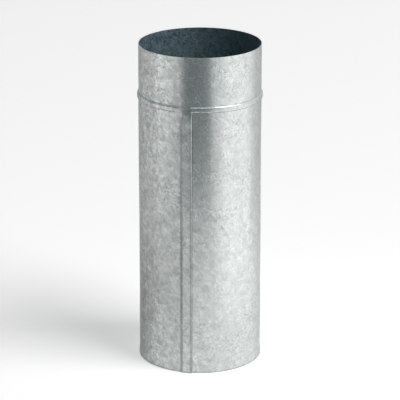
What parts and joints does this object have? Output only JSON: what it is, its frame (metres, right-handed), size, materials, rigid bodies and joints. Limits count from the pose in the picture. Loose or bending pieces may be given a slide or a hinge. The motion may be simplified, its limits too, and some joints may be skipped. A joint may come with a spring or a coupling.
{
  "type": "seamed sheet-metal pipe",
  "caption": "Straight round galvanised sheet-steel pipe, closed by a lock seam down its length, with a raised bead below a plain collar that slides into the foot of the next pipe.",
  "frame": {"origin": "on the pipe's axis at the edge of its foot, on the surface that it stands on", "axes": "+Z along the pipe from the foot to the collar, with the lock seam facing -Y"},
  "size_m": [0.1274, 0.1289, 0.333],
  "materials": {
    "galvanised_sheet": "satin"
  },
  "bodies": {
    "root": {"seamed_pipe": "galvanised_sheet"}
  },
  "joints": []
}
